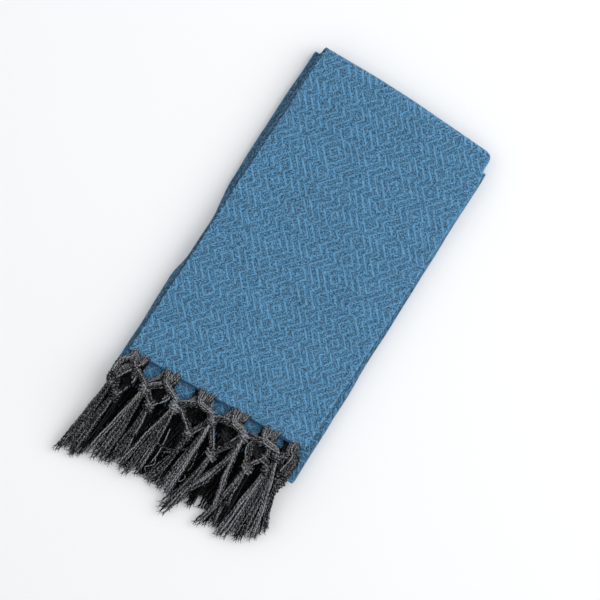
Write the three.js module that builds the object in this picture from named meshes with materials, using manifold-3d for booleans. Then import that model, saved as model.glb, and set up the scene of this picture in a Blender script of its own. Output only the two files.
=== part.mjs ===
// A handwoven cotton throw, folded, with a knotted fringe at each end. Millimetres, +Z up.
// X runs across the folded block, Y along it, and the origin is on the floor under its middle.
// The cloth is pleated in four across its width. That package is folded back and forth along
// its length in four passes, so sixteen layers lie over each other.

import * as THREE from 'three';
import { mergeVertices } from 'three/addons/utils/BufferGeometryUtils.js';
import Module from 'manifold-3d';

const wasm = await Module();
wasm.setup();

const PANEL = 248; // width of the folded block
const CLOTH = 1.2; // thickness of the woven cloth
const SLIT = 0.4; // air between two layers
const TOP_FOLD_Y = 236; // outer edge of the fold at the head of the block
const LOW_FOLD_Y = -241; // outer edge of the fold that shows past the top hem
const INNER_FOLD_Y = 217; // outer edge of the hidden fold under the head
const TOP_HEM_Y = -197;
const FLOOR_HEM_Y = -228;
const FRINGE_GAP = 0.3; // parts a fringe's backing from the hem
const BACKING = 3; // length of a fringe's backing

const PLEATS = 4;
const LAYER_STEP = CLOTH + SLIT;
const PACKAGE = PLEATS * CLOTH + (PLEATS - 1) * SLIT;
const PASS_STEP = PACKAGE + SLIT;
const PLEAT_CENTRE = PANEL / 2 - CLOTH / 2 - LAYER_STEP / 2; // across, of the small round folds
const FOLD_RADIUS = PASS_STEP / 2; // of the package's middle in each fold along the length
const FOLD_REACH = FOLD_RADIUS + PACKAGE / 2; // from such a fold's centre to its outer edge
const PLEAT_STEPS = 3;
const FOLD_STEPS = 5;

// Slant of the lines across the cloth, as a rise in Y for each millimetre of X.
const SLANT_HEAD = 0;
const SLANT_LOW = 0.041;
const SLANT_INNER = -0.055;

// Where the way turns: the centres of the three folds along the length.
const HEAD_TURN = TOP_FOLD_Y - FOLD_REACH;
const LOW_TURN = LOW_FOLD_Y + FOLD_REACH;
const INNER_TURN = INNER_FOLD_Y - FOLD_REACH;

// The four passes from the top down: where each starts and ends, and the slant and the share of
// the sideways slip that it has there.
const PASSES = [
  { start: TOP_HEM_Y, end: HEAD_TURN, slants: [SLANT_LOW, SLANT_HEAD], slips: [0, 0] },
  { start: HEAD_TURN, end: LOW_TURN, slants: [SLANT_HEAD, SLANT_LOW], slips: [0, 1] },
  { start: LOW_TURN, end: INNER_TURN, slants: [SLANT_LOW, SLANT_INNER], slips: [1, 1] },
  { start: INNER_TURN, end: FLOOR_HEM_Y, slants: [SLANT_INNER, SLANT_LOW], slips: [1, 0.85] },
];
const HEAD_PASSES = 2; // the passes that meet in the head's fold
const TOP_PASS_PLACES = [170]; // places between its ends where a pass needs a section
const PASS_PLACES = [170, 60, 17, -76, -98, -200];

// How far the lower passes show past the top one, on either side, along the block.
const SLIPS = [
  { y: 236, left: 8, right: 0.6 },
  { y: 60, left: 8, right: 4 },
  { y: 17, left: 1, right: 5 },
  { y: -76, left: 0.5, right: 7 },
  { y: -98, left: 6, right: 8 },
  { y: -200, left: 3.5, right: 10 },
  { y: -241, left: 3, right: 11 },
];
const SELVEDGE_SHARE = 0.4; // the layers with a free edge slip less than those with a fold

// The wavy outline of the head: how far its fold lies back, across the block.
const HEAD = [
  { x: -124, back: 4 },
  { x: -50, back: 0.6 },
  { x: 0, back: 0 },
  { x: 60, back: 1.2 },
  { x: 115, back: 2.4 },
  { x: 121, back: 4.4 },
  { x: 124, back: 8 },
];
const HEAD_FADE = 60; // the wave dies out over this length of the block

// Tassels of the top row: place and drop of the knot, the crossing of bundles to its right, and
// the place and distance from the hem where the tips lie.
const TOP_TASSELS = [
  { knot: -119, drop: 44, cross: -105, tip: -124, reach: 146 },
  { knot: -80, drop: 32, cross: -61, tip: -79, reach: 136 },
  { knot: -35, drop: 36, cross: -13, tip: -41, reach: 134 },
  { knot: 9, drop: 28, cross: 35, tip: 7, reach: 128 },
  { knot: 53, drop: 24, cross: 78, tip: 38, reach: 142 },
  { knot: 101, drop: 34, cross: 115, tip: 98, reach: 138 },
  { knot: 119, drop: 46, cross: 135, tip: 134, reach: 113 },
];
const FLOOR_TASSELS = [
  { knot: -106, drop: 33, cross: -86, tip: -112, reach: 118 },
  { knot: -64, drop: 28, cross: -42, tip: -60, reach: 110 },
  { knot: -19, drop: 31, cross: 7, tip: -26, reach: 116 },
  { knot: 32, drop: 36, cross: 54, tip: 30, reach: 106 },
  { knot: 76, drop: 27, cross: 95, tip: 80, reach: 110 },
  { knot: 112, drop: 34, cross: 130, tip: 112, reach: 96 },
];
const CROSS_DROP = 14;
const BUNDLE_PITCH = 24; // along the hem
const ROOT_LIMIT = 114; // the outermost bundle starts here

// Underside of the lowest row of strands, and the step up to each row over it, by the distance
// past the hem. The top fringe lies on the second pass, drapes over the low fold and then lies
// on the fringe of the other end, which lies on the floor.
const TOP_BED = [
  { drop: 1.5, under: 19.3, step: 1.6 },
  { drop: 10, under: 19.3, step: 2.3 },
  { drop: 42, under: 19.7, step: 2.3 },
  { drop: 48, under: 19, step: 2.4 },
  { drop: 60, under: 10.4, step: 2.5 },
  { drop: 96, under: 7.1, step: 2.3 },
  { drop: 150, under: 6.7, step: 2.1 },
];
const FLOOR_BED = [
  { drop: 1.5, under: 0.1, step: 1.6 },
  { drop: 10, under: 0, step: 1.5 },
  { drop: 150, under: 0, step: 1.5 },
];

// The two fringes: the hem each grows from, its bed, and the sizes that differ between them.
const TOP_FRINGE = { name: 'fringe_top', hem: TOP_HEM_Y, bed: TOP_BED, bends: [48, 61], thick: 2 };
const FLOOR_FRINGE = { name: 'fringe_floor', hem: FLOOR_HEM_Y, bed: FLOOR_BED, bends: [56], thick: 2.4 };

const BUNDLE = { root: 15, width: 8.5, end: 4.4, aside: 2.4 };
const CROSS_THIN = 0.44; // two bundles share the thickness of their row where they cross
const SLIM = 0.55; // thickness of a strand inside a knot, over its row's
const SLIM_LIFT = 0.25; // and how far it starts over the row's bed, so that it is well inside
const KNOT = { length: 12, width: 11.5, sides: 6 };
const RIDGED = [0.85, 1.08, 0.86, 1.08, 0.85]; // swell of a knot that shows, along its length
const SMOOTH = [0.85, 1.08, 0.85]; // and of a knot that another row covers
const LOCK_FILL = 0.86; // width of a lock over the distance to the next one
const LOCK_ROOT = 2.1; // distance between locks where they leave the knot

const COTTON_BLUE = new THREE.MeshStandardMaterial({ color: 0x527f9f, roughness: 0.95, metalness: 0 });
const YARN_CHARCOAL = new THREE.MeshStandardMaterial({ color: 0x3b3d41, roughness: 1, metalness: 0 });

// Reads a column of a table at a place between two of its rows. The first column is the key.
function read(table, column, place) {
  const key = Object.keys(table[0])[0];
  const rows = [...table].sort((a, b) => a[key] - b[key]);
  const held = Math.min(Math.max(place, rows[0][key]), rows[rows.length - 1][key]);
  const next = Math.max(1, rows.findIndex((row) => row[key] >= held));
  const [low, high] = [rows[next - 1], rows[next]];
  return THREE.MathUtils.mapLinear(held, low[key], high[key], low[column], high[column]);
}

// A number from -1 to 1 that looks random and is the same in every run.
const vary = (seed) => Math.sin(seed * 12.9898);

// Joins rings of [x, y, z] points, and closes both ends with the given triangles of a ring.
function skin(rings, cap) {
  const count = rings[0].length;
  const last = (rings.length - 1) * count;
  const index = [];
  for (let start = 0; start < last; start += count) {
    for (let i = 0; i < count; i += 1) {
      const here = start + i;
      const next = start + ((i + 1) % count);
      index.push(here, here + count, next, next, here + count, next + count);
    }
  }
  cap.forEach(([a, b, c]) => {
    index.push(a, b, c);
    index.push(last + a, last + c, last + b);
  });
  const geometry = new THREE.BufferGeometry();
  geometry.setAttribute('position', new THREE.Float32BufferAttribute(rings.flat(2), 3));
  geometry.setIndex(index);
  return geometry;
}

// The middle line of the pleated package: four layers, with a small round fold after each.
// Every point has its height off the package's middle and the direction of the cloth's face.
function pleatLine() {
  const places = [-PLEAT_CENTRE, -50, 60, 115, PLEAT_CENTRE];
  const line = [];
  for (let layer = 0; layer < PLEATS; layer += 1) {
    const height = ((PLEATS - 1) / 2 - layer) * LAYER_STEP;
    const side = layer % 2 === 0 ? 1 : -1;
    const stops = side > 0 ? places : [...places].reverse();
    stops.forEach((x) => line.push({ x, off: height, faceX: 0, faceOff: side, layer }));
    for (let step = 1; layer < PLEATS - 1 && step < PLEAT_STEPS; step += 1) {
      const angle = (step / PLEAT_STEPS) * Math.PI;
      const x = side * (PLEAT_CENTRE + (Math.sin(angle) * LAYER_STEP) / 2);
      const off = height - ((1 - Math.cos(angle)) * LAYER_STEP) / 2;
      line.push({ x, off, faceX: Math.sin(angle), faceOff: side * Math.cos(angle), layer });
    }
  }
  return line;
}

// The package's section, one face of the cloth along the pleat line and the other face back.
// The points run clockwise seen along the package, so the ring is turned round at the end.
function pleatSection(line) {
  const face = (side) => line.map((point) => ({
    x: point.x + (side * point.faceX * CLOTH) / 2,
    off: point.off + (side * point.faceOff * CLOTH) / 2,
    layer: point.layer,
  }));
  return [...face(-1), ...face(1).reverse()];
}

// Triangles that fill the section: a strip between its two faces.
function pleatCap(line) {
  const count = line.length;
  const cap = [];
  for (let i = 0; i < count - 1; i += 1) {
    const facing = 2 * count - 1 - i;
    cap.push([i, i + 1, facing], [i + 1, facing - 1, facing]);
  }
  return cap;
}

// A station on the package's way: its place, the direction of its upper side, and its slips.
function station(pass, y, height, face) {
  const { start, end, slants, slips } = PASSES[pass];
  const share = THREE.MathUtils.clamp((y - start) / (end - start), 0, 1);
  const slip = THREE.MathUtils.lerp(...slips, share);
  const nearHead = THREE.MathUtils.clamp(1 - (HEAD_TURN - y) / HEAD_FADE, 0, 1);
  return {
    y,
    height,
    face,
    slant: THREE.MathUtils.lerp(...slants, share),
    left: slip * read(SLIPS, 'left', y),
    right: slip * read(SLIPS, 'right', y),
    head: pass < HEAD_PASSES ? nearHead : 0,
  };
}

const passHeight = (pass) => PACKAGE / 2 + (PASSES.length - 1 - pass) * PASS_STEP;
const passFace = (pass) => (pass % 2 === 0 ? Math.PI / 2 : -Math.PI / 2);

// All stations from the top hem to the floor hem.
function packageWay() {
  const way = [];
  PASSES.forEach(({ start, end }, pass) => {
    const places = (pass === 0 ? TOP_PASS_PLACES : PASS_PLACES).filter((y) => (y - start) * (y - end) < 0);
    if (end > start) places.reverse();
    const stops = [start, ...places, end];
    stops.forEach((y) => way.push(station(pass, y, passHeight(pass), passFace(pass))));
    for (let step = 1; pass < PASSES.length - 1 && step < FOLD_STEPS; step += 1) {
      const turn = (step / FOLD_STEPS) * Math.PI;
      const outwards = end > start ? 1 : -1;
      const face = passFace(pass) - outwards * turn;
      const height = passHeight(pass) - (1 - Math.cos(turn)) * FOLD_RADIUS;
      const bend = station(pass, end, height, face);
      bend.y = end + outwards * Math.sin(turn) * FOLD_RADIUS;
      way.push(bend);
    }
  });
  return way;
}

// Puts the pleated section at a station. The sideways slips stretch it, and the slant and the
// head's wave shear it along the block, so no layer crosses its neighbour.
function ringAt(section, at) {
  return section.map(({ x, off, layer }) => {
    const share = layer === 0 || layer === PLEATS - 1 ? SELVEDGE_SHARE : 1;
    const left = (at.left * share * Math.max(0, -x)) / (PANEL / 2);
    const right = (at.right * Math.max(0, x)) / (PANEL / 2);
    const back = at.head * read(HEAD, 'back', x);
    return [
      x - left + right,
      at.y + off * Math.cos(at.face) + at.slant * x - back,
      at.height + off * Math.sin(at.face),
    ];
  });
}

function makeCloth() {
  const line = pleatLine();
  const section = pleatSection(line);
  return skin(packageWay().map((at) => ringAt(section, at)), pleatCap(line));
}

// A strip of the same pleated package just past a hem, for the fringe to grow from. The top
// pass runs away from its hem, and the last one runs up to it.
function makeBacking(pass, hem) {
  const line = pleatLine();
  const section = pleatSection(line);
  const drops = [FRINGE_GAP, FRINGE_GAP + BACKING];
  if (pass === 0) drops.reverse();
  const rings = drops.map((drop) => {
    const at = station(pass, hem, passHeight(pass), passFace(pass));
    at.y = hem - drop;
    return ringAt(section, at);
  });
  return skin(rings, pleatCap(line));
}

// Section of a strand: a regular polygon lying on a flat side, from -1 to 1 both ways.
function strandSection(sides) {
  const turns = Array.from({ length: sides }, (_, i) => (i + 0.5) / sides - 0.25);
  const corners = turns.map((turn) => 2 * Math.PI * turn);
  const wide = Math.max(...corners.map((angle) => Math.cos(angle)));
  const heights = corners.map((angle) => Math.sin(angle));
  const [low, high] = [Math.min(...heights), Math.max(...heights)];
  return corners.map((angle) => [
    Math.cos(angle) / wide,
    THREE.MathUtils.mapLinear(Math.sin(angle), low, high, -1, 1),
  ]);
}

// A strand through stops with a place, a drop past the hem, a width, a thickness and perhaps a
// lift over its row's bed. Its first section lies along the hem.
function makeStrand(fringe, row, stops, sides) {
  const middle = stops.map(({ x, drop, thick, lift = 0 }) => {
    const under = read(fringe.bed, 'under', drop) + row * read(fringe.bed, 'step', drop);
    return new THREE.Vector3(x, fringe.hem + SLANT_LOW * x - drop, under + lift + thick / 2);
  });
  const section = strandSection(sides);
  const up = new THREE.Vector3(0, 0, 1);
  const rings = stops.map(({ wide, thick }, i) => {
    const next = middle[Math.min(i + 1, stops.length - 1)];
    const along = i > 0 ? next.clone().sub(middle[i - 1]).normalize() : new THREE.Vector3(0, -1, 0);
    const across = new THREE.Vector3().crossVectors(along, up).normalize();
    const lift = new THREE.Vector3().crossVectors(across, along);
    return section.map(([u, v]) => middle[i].clone()
      .addScaledVector(across, (u * wide) / 2)
      .addScaledVector(lift, (v * thick) / 2)
      .toArray());
  });
  const cap = Array.from({ length: sides - 2 }, (_, i) => [0, i + 1, i + 2]);
  return skin(rings, cap);
}

// A bundle of warp ends: it gathers from the hem, crosses its neighbour and runs to the knot.
// Side is -1 for the bundle that comes from the left and lies over the other, 1 for the right.
function makeBundle(fringe, row, side, cross, tassel) {
  const root = THREE.MathUtils.clamp(cross + (side * BUNDLE_PITCH) / 2, -ROOT_LIMIT, ROOT_LIMIT);
  const inside = THREE.MathUtils.clamp(cross, -ROOT_LIMIT, ROOT_LIMIT);
  const thick = fringe.thick * CROSS_THIN;
  const lift = side < 0 ? fringe.thick - thick : 0;
  const end = { wide: BUNDLE.end, thick: fringe.thick * SLIM, lift: fringe.thick * SLIM_LIFT };
  const stops = [
    { x: root, drop: FRINGE_GAP + BACKING * SLIM_LIFT, wide: BUNDLE.root, thick: CLOTH - 0.2 },
    { x: inside, drop: CROSS_DROP, wide: BUNDLE.width, thick, lift },
    { x: tassel.knot + side * BUNDLE.aside, drop: tassel.drop, ...end },
  ];
  return makeStrand(fringe, row, stops, 4);
}

// The knot: a flattened ball with raised turns of yarn. It is plump where no row lies over it.
function makeKnot(fringe, row, tassel, plump) {
  const swells = plump > 1 ? RIDGED : SMOOTH;
  const thick = fringe.thick * plump;
  const stops = swells.map((swell, i) => ({
    x: tassel.knot,
    drop: tassel.drop + KNOT.length * (i / (swells.length - 1) - 0.5),
    wide: KNOT.width * swell,
    thick: thick * swell,
    lift: (thick * (Math.max(...swells) - swell)) / 2,
  }));
  return makeStrand(fringe, row, stops, KNOT.sides);
}

// The tassel under a knot: locks of yarn that leave it side by side and spread to their tips.
function makeLocks(fringe, row, tassel, count, spread) {
  return Array.from({ length: count }, (_, i) => {
    const side = i - (count - 1) / 2;
    const seed = tassel.knot + 7 * row + i;
    const reach = tassel.reach + 6 * vary(seed);
    const root = tassel.drop + KNOT.length / 6;
    const bends = fringe.bends.filter((drop) => drop > tassel.drop + KNOT.length);
    const stops = [root, ...bends, reach].map((drop) => {
      const share = (drop - root) / (reach - root);
      const apart = THREE.MathUtils.lerp(LOCK_ROOT, spread, share);
      const x = THREE.MathUtils.lerp(tassel.knot, tassel.tip, share) + side * apart;
      return { x, drop, wide: apart * LOCK_FILL * (1 - share / 3), thick: fringe.thick };
    });
    stops[0].thick *= SLIM;
    stops[0].lift = fringe.thick * SLIM_LIFT;
    return makeStrand(fringe, row, stops, 3);
  });
}

// One row of tassels with its bundles, knots and locks. Rows count up from the lowest.
function makeRow(fringe, row, tassels, { locks, spread, plump = 1 }) {
  return tassels.flatMap((tassel, i) => {
    const before = i > 0 ? tassels[i - 1].cross : tassel.knot - BUNDLE_PITCH;
    return [
      makeBundle(fringe, row, -1, before, tassel),
      makeBundle(fringe, row, 1, tassel.cross, tassel),
      makeKnot(fringe, row, tassel, plump),
      ...makeLocks(fringe, row, tassel, locks, spread),
    ];
  });
}

// A row that lies under or over another one, with its knots and tips a little out of line.
function shifted(tassels, row, slide) {
  return tassels.map((tassel, i) => ({
    knot: tassel.knot + 3 * vary(i + 5 * row),
    drop: tassel.drop + 3 * vary(i + 11 * row),
    cross: tassel.cross + 2 * vary(i + 17 * row),
    tip: tassel.tip + slide + 4 * vary(i + 23 * row),
    reach: tassel.reach - 7 + 6 * vary(i + 31 * row),
  }));
}

function toSolid(geometry) {
  const merged = mergeVertices(geometry);
  return new wasm.Manifold(new wasm.Mesh({
    numProp: 3,
    vertProperties: new Float32Array(merged.attributes.position.array),
    triVerts: new Uint32Array(merged.index.array),
  }));
}

function toGeometry(solid) {
  const { vertProperties, triVerts } = solid.getMesh();
  const geometry = new THREE.BufferGeometry();
  geometry.setAttribute('position', new THREE.BufferAttribute(vertProperties, 3));
  geometry.setIndex(new THREE.BufferAttribute(triVerts, 1));
  return geometry;
}

const fuse = (pieces) => toGeometry(pieces.map(toSolid).reduce((whole, piece) => whole.add(piece)));

function makeTopFringe() {
  const inner = TOP_TASSELS.slice(1, -1);
  return fuse([
    makeBacking(0, TOP_HEM_Y),
    ...makeRow(TOP_FRINGE, 0, shifted(inner, 1, 16), { locks: 4, spread: 6 }),
    ...makeRow(TOP_FRINGE, 2, shifted(inner, 2, -15), { locks: 4, spread: 6 }),
    ...makeRow(TOP_FRINGE, 3, TOP_TASSELS, { locks: 5, spread: 4.6, plump: 2.6 }),
  ]);
}

function makeFloorFringe() {
  const inner = FLOOR_TASSELS.slice(0, -1);
  return fuse([
    makeBacking(PASSES.length - 1, FLOOR_HEM_Y),
    ...makeRow(FLOOR_FRINGE, 0, shifted(inner, 4, 17), { locks: 4, spread: 6 }),
    ...makeRow(FLOOR_FRINGE, 2, FLOOR_TASSELS, { locks: 4, spread: 6, plump: 1.6 }),
  ]);
}

function piece(name, geometry, material) {
  const mesh = new THREE.Mesh(geometry, material);
  mesh.name = name;
  return mesh;
}

const throwBlanket = new THREE.Group();
throwBlanket.add(piece('cloth', makeCloth(), COTTON_BLUE));
throwBlanket.add(piece(TOP_FRINGE.name, makeTopFringe(), YARN_CHARCOAL));
throwBlanket.add(piece(FLOOR_FRINGE.name, makeFloorFringe(), YARN_CHARCOAL));

export default throwBlanket;
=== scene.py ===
"""Blender looks for a folded, handwoven cotton throw with a knotted fringe at each end.

The cloth is a thin woven sheet on the folds of its solid: pleated in four across its width and
folded back and forth in four passes along its length. The fringes are plied yarns that leave the
weave, cross, run through knots and end as tassels. X runs across the block, Y along it, Z up.
"""

from __future__ import annotations

import logging
import math
from dataclasses import dataclass
from dataclasses import field
from enum import Enum
from typing import NamedTuple

import bmesh
import bpy
import numpy as np
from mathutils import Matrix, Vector

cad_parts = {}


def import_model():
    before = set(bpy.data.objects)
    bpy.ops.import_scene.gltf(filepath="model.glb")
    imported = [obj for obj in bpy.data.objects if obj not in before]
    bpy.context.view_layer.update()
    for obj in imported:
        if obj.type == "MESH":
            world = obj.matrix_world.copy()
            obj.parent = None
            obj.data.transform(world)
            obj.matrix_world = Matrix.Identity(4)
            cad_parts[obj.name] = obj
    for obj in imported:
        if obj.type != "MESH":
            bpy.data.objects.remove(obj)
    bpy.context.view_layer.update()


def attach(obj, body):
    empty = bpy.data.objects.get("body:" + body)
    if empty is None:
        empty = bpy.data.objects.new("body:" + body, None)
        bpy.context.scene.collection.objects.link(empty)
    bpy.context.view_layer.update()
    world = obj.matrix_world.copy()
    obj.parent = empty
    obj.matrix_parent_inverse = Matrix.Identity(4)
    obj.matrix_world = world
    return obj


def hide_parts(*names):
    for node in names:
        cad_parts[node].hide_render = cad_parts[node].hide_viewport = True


LOG = logging.getLogger("throw")
MM = 0.001
PIXEL = 1.216 * MM  # one pixel of the photo, on the cloth
UV_MAP = "cloth"  # name of the surface coordinates of every piece

Point = tuple[float, float, float]
Colour = tuple[float, float, float]

# Sizes of the folded block, as in its solid, in millimetres.
PANEL = 248.0
CLOTH = 1.2
SLIT = 0.4
TOP_FOLD_Y = 236.0
LOW_FOLD_Y = -241.0
INNER_FOLD_Y = 217.0
TOP_HEM_Y = -197.0
FLOOR_HEM_Y = -228.0
PLEATS = 4
LAYER_STEP = CLOTH + SLIT
PACKAGE = PLEATS * CLOTH + (PLEATS - 1) * SLIT
PASS_STEP = PACKAGE + SLIT
PLEAT_CENTRE = PANEL / 2 - CLOTH / 2 - LAYER_STEP / 2
FOLD_RADIUS = PASS_STEP / 2
FOLD_REACH = FOLD_RADIUS + PACKAGE / 2
HEAD_TURN = TOP_FOLD_Y - FOLD_REACH
LOW_TURN = LOW_FOLD_Y + FOLD_REACH
INNER_TURN = INNER_FOLD_Y - FOLD_REACH
SLANT_HEAD = 0.0
SLANT_LOW = 0.041
SLANT_INNER = -0.055
SELVEDGE_SHARE = 0.4
HEAD_FADE = 60.0
HEAD_PASSES = 2


class Pass(NamedTuple):
    """One of the four lengthwise passes, from the top down."""

    start: float
    end: float
    slants: tuple[float, float]
    slips: tuple[float, float]
    rows: int


PASSES = (
    Pass(TOP_HEM_Y, HEAD_TURN, (SLANT_LOW, SLANT_HEAD), (0, 0), 90),
    Pass(HEAD_TURN, LOW_TURN, (SLANT_HEAD, SLANT_LOW), (0, 1), 44),
    Pass(LOW_TURN, INNER_TURN, (SLANT_LOW, SLANT_INNER), (1, 1), 44),
    Pass(INNER_TURN, FLOOR_HEM_Y, (SLANT_INNER, SLANT_LOW), (1, 0.85), 40),
)


class Slip(NamedTuple):
    """How far the lower passes show past the top one at a place along the block."""

    y: float
    left: float
    right: float


SLIPS = (
    Slip(-241, 3, 11),
    Slip(-200, 3.5, 10),
    Slip(-98, 6, 8),
    Slip(-76, 0.5, 7),
    Slip(-17, 0.8, 5.6),
    Slip(4, 4, 5.2),
    Slip(26, 7.6, 4.8),
    Slip(60, 8.4, 4),
    Slip(236, 8, 0.6),
)


class HeadPoint(NamedTuple):
    """How far the head's fold line lies back at a place across the block."""

    x: float
    back: float


HEAD = (
    HeadPoint(-124, 4),
    HeadPoint(-50, 0.6),
    HeadPoint(0, 0),
    HeadPoint(60, 1.2),
    HeadPoint(115, 2.4),
    HeadPoint(121, 4.4),
    HeadPoint(124, 8),
)
HEAD_TUCK = 4.5  # how far the right edge of the upper packets is drawn in at the head
HEAD_TUCK_FROM = 196.0
HEAD_TUCK_FADE = 22.0


class Ripple(NamedTuple):
    """A soft ridge in the top layer."""

    x: float
    y: float
    turn: float
    length: float
    width: float
    height: float


RIPPLES = (
    Ripple(-70, 170, 80, 90, 22, 0.5),
    Ripple(38, 205, 5, 110, 14, 0.5),
    Ripple(64, 92, 62, 120, 26, 0.6),
    Ripple(-30, 20, 100, 150, 30, 0.5),
    Ripple(76, -60, 84, 130, 24, 0.5),
    Ripple(-84, -110, 74, 100, 20, 0.6),
    Ripple(16, -150, 12, 130, 18, 0.6),
)


class Lock(NamedTuple):
    """A group of a tassel's yarns: its places across half way down and at its tip, and its reach."""

    bend: float
    tip: float
    reach: float
    yarns: int


class Tassel(NamedTuple):
    """A knot, the places across where its two bundles cross their neighbours, and its locks."""

    knot: float
    drop: float
    left: float
    right: float
    locks: tuple[Lock, ...]


FRONT_TASSELS = (
    Tassel(-119, 44, -122, -105, (Lock(-124, -130, 151, 7), Lock(-119, -123, 139, 7))),
    Tassel(-80, 37, -105, -61, (Lock(-88, -97, 134, 6), Lock(-82, -87, 137, 6), Lock(-76, -78, 134, 6))),
    Tassel(-37, 36, -61, -13, (Lock(-47, -55, 128, 6), Lock(-40, -44, 134, 6), Lock(-33, -33, 127, 6))),
    Tassel(10, 29, -13, 35, (Lock(6, 0, 127, 9), Lock(12, 11, 128, 9))),
    Tassel(53, 24, 35, 78, (Lock(49, 33, 108, 9), Lock(59, 69, 113, 9))),
    Tassel(100, 27, 78, 118, (Lock(105, 108, 126, 6), Lock(111, 117, 130, 6), Lock(117, 127, 124, 6))),
    Tassel(119, 46, 118, 124, (Lock(124, 136, 107, 7),)),
)
SECOND_TASSELS = (
    Tassel(-107, 62, -116, -98, (Lock(-113, -119, 137, 6), Lock(-109, -112, 147, 6))),
    Tassel(-64, 53, -80, -50, (Lock(-65, -67, 128, 6), Lock(-61, -59, 118, 5))),
    Tassel(-5, 58, -30, 8, (Lock(-8, -17, 124, 6), Lock(-5, -9, 116, 5))),
    Tassel(32, 63, 13, 50, (Lock(30, 22, 151, 6), Lock(27, 16, 146, 6))),
    Tassel(77, 54, 66, 90, (Lock(78, 80, 108, 5), Lock(72, 64, 141, 6))),
    Tassel(99, 46, 74, 120, (Lock(95, 91, 142, 6), Lock(101, 100, 138, 6))),
    Tassel(117, 58, 108, 122, (Lock(121, 131, 119, 5),)),
)
THIRD_TASSELS = (
    Tassel(-104, 36, -110, -98, (Lock(-110, -124, 142, 6), Lock(-100, -104, 138, 6))),
    Tassel(-61, 34, -67, -55, (Lock(-67, -74, 130, 6), Lock(-57, -50, 126, 6))),
    Tassel(-15, 33, -21, -9, (Lock(-21, -28, 124, 6), Lock(-10, -4, 121, 6))),
    Tassel(34, 34, 28, 40, (Lock(28, 24, 138, 6), Lock(40, 42, 124, 6))),
    Tassel(78, 32, 72, 84, (Lock(72, 70, 136, 6), Lock(84, 86, 134, 6))),
    Tassel(112, 36, 106, 116, (Lock(110, 112, 132, 6), Lock(120, 131, 117, 6))),
)
LOOSE_PLACES = (-105.0, -61.0, -13.0, 35.0, 78.0, 106.0)
FLOOR_TASSELS = (
    Tassel(-106, 33, -116, -98, (Lock(-111, -116, 120, 6), Lock(-103, -107, 116, 5))),
    Tassel(-64, 28, -80, -50, (Lock(-68, -72, 106, 5), Lock(-58, -56, 104, 5))),
    Tassel(-19, 31, -34, -6, (Lock(-24, -30, 98, 5), Lock(-14, -16, 100, 5))),
    Tassel(32, 36, 18, 44, (Lock(28, 27, 106, 5), Lock(38, 40, 100, 5))),
    Tassel(76, 27, 60, 90, (Lock(73, 76, 106, 5), Lock(84, 88, 106, 5))),
    Tassel(108, 34, 96, 118, (Lock(106, 108, 100, 5), Lock(116, 120, 92, 5))),
)


class Stray(NamedTuple):
    """A loose end of yarn: its points across and past the hem."""

    across: tuple[float, ...]
    drops: tuple[float, ...]
    rise: float
    radius: float


STRAYS = (
    Stray((8, 0, -14, -30, -38), (66, 76, 84, 85, 80), 2.4, 1.3),
    Stray((-57, -61, -73), (85, 97, 114), 1.0, 1.2),
    Stray((-4, -4, -9, -21), (59, 72, 84, 92), 1.6, 1.5),
    Stray((17, 18, 20, 19), (70, 78, 87, 96), 2.4, 0.6),
    Stray((19, 21, 17, 15), (101, 106, 112, 108), 2.4, 0.6),
    Stray((-22, -20, -27, -24), (102, 110, 118, 122), 1.0, 0.6),
    Stray((-27, -24, -23, -24), (62, 80, 96, 110), 1.2, 0.7),
)
PICKS = (1.3, 2.4)  # how far past the top hem its two loosened weft threads lie
ROOT_LIMIT = 112.0  # outermost place of a bundle's root, either way
FRINGE_LEFT = -122.0  # outermost places of the unknotted yarns
FRINGE_RIGHT = 120.0


class Bed(NamedTuple):
    """Underside of the lowest row of yarns and the step up to each row over it."""

    drop: float
    under: float
    step: float


TOP_BED = (
    Bed(-12, 19.3, 1.6),
    Bed(1.5, 19.3, 1.6),
    Bed(10, 19.3, 2.3),
    Bed(42, 19.7, 2.3),
    Bed(48, 18.2, 2.5),
    Bed(60, 8.6, 3.6),
    Bed(96, 4.4, 3.1),
    Bed(130, 3.0, 1.9),
    Bed(160, 1.8, 1.2),
)
FLOOR_BED = (
    Bed(-12, 0.1, 1.6),
    Bed(1.5, 0.1, 1.6),
    Bed(10, 0.1, 1.5),
    Bed(160, 0.1, 1.5),
)
WARP_LEAN = 0.0205  # the warp runs this much out of line with the pleats
WARP_MIDDLE = 197.0
HEM_SAG = 0.02  # how much steeper the left of the top hem runs than its solid's
HEM_SAG_FROM = 70.0
HEM_SAG_REACH = 180.0  # across, past which it hangs no lower
HEM_SAG_FADE = 46.0


def between(rows: tuple, column: str, place: float) -> float:
    """Reads a column of a table between its rows.

    Args:
        rows: The table, whose first column rises.
        column: The name of the column that is read.
        place: Where it is read, in the first column's measure.

    Returns:
        The number there.
    """
    keys = [row[0] for row in rows]
    values = [getattr(row, column) for row in rows]
    return float(np.interp(place, keys, values))


def vary(seed: float) -> float:
    """A number from -1 to 1 that looks random and is the same in every run."""
    return math.sin(seed * 12.9898)


def sag(x: np.ndarray | float, away: float) -> np.ndarray | float:
    """How far the top hem hangs past its solid's, fading away from the hem.

    Args:
        x: Place or places across.
        away: Distance from the hem.

    Returns:
        The distance at each place.
    """
    fade = min(max(1 - away / HEM_SAG_FADE, 0.0), 1.0)
    return HEM_SAG * np.clip(HEM_SAG_FROM - x, 0, HEM_SAG_REACH) * fade


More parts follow.
